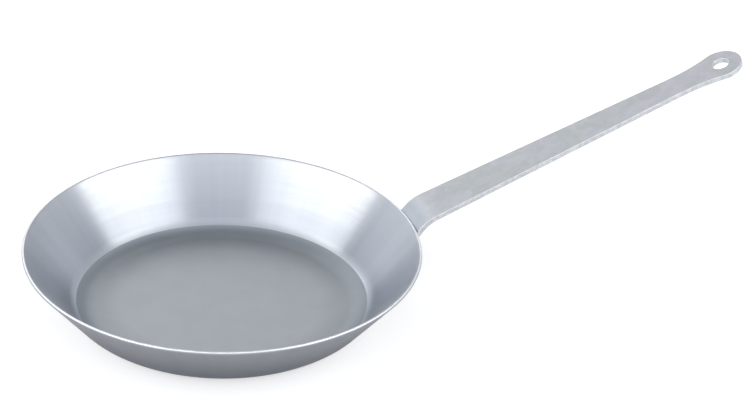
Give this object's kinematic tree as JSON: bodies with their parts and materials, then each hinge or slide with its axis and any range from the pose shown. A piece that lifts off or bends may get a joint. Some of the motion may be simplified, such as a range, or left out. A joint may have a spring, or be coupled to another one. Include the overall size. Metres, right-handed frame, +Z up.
{
  "type": "frying pan",
  "caption": "Round open pan of pressed steel sheet with flared walls, and a long flat steel handle welded outside the wall, rising to an eye with a hanging hole.",
  "frame": {"origin": "centre of the underside, on the plane the pan stands on", "axes": "+Z up, square to the base; +X along the handle, away from the pan; +Y to the left of the handle seen from above"},
  "size_m": [0.5718, 0.3, 0.1553],
  "materials": {
    "pan_steel": "wall brushed round the axis, floor left matt grey",
    "handle_steel": "mill finish, faintly mottled, edges eased",
    "weld_metal": "as deposited, satin, lightly rippled"
  },
  "bodies": {
    "root": {"pan_body": "pan_steel", "handle": "handle_steel", "weld_left": "weld_metal", "weld_right": "weld_metal", "weld_foot": "weld_metal"}
  },
  "joints": []
}
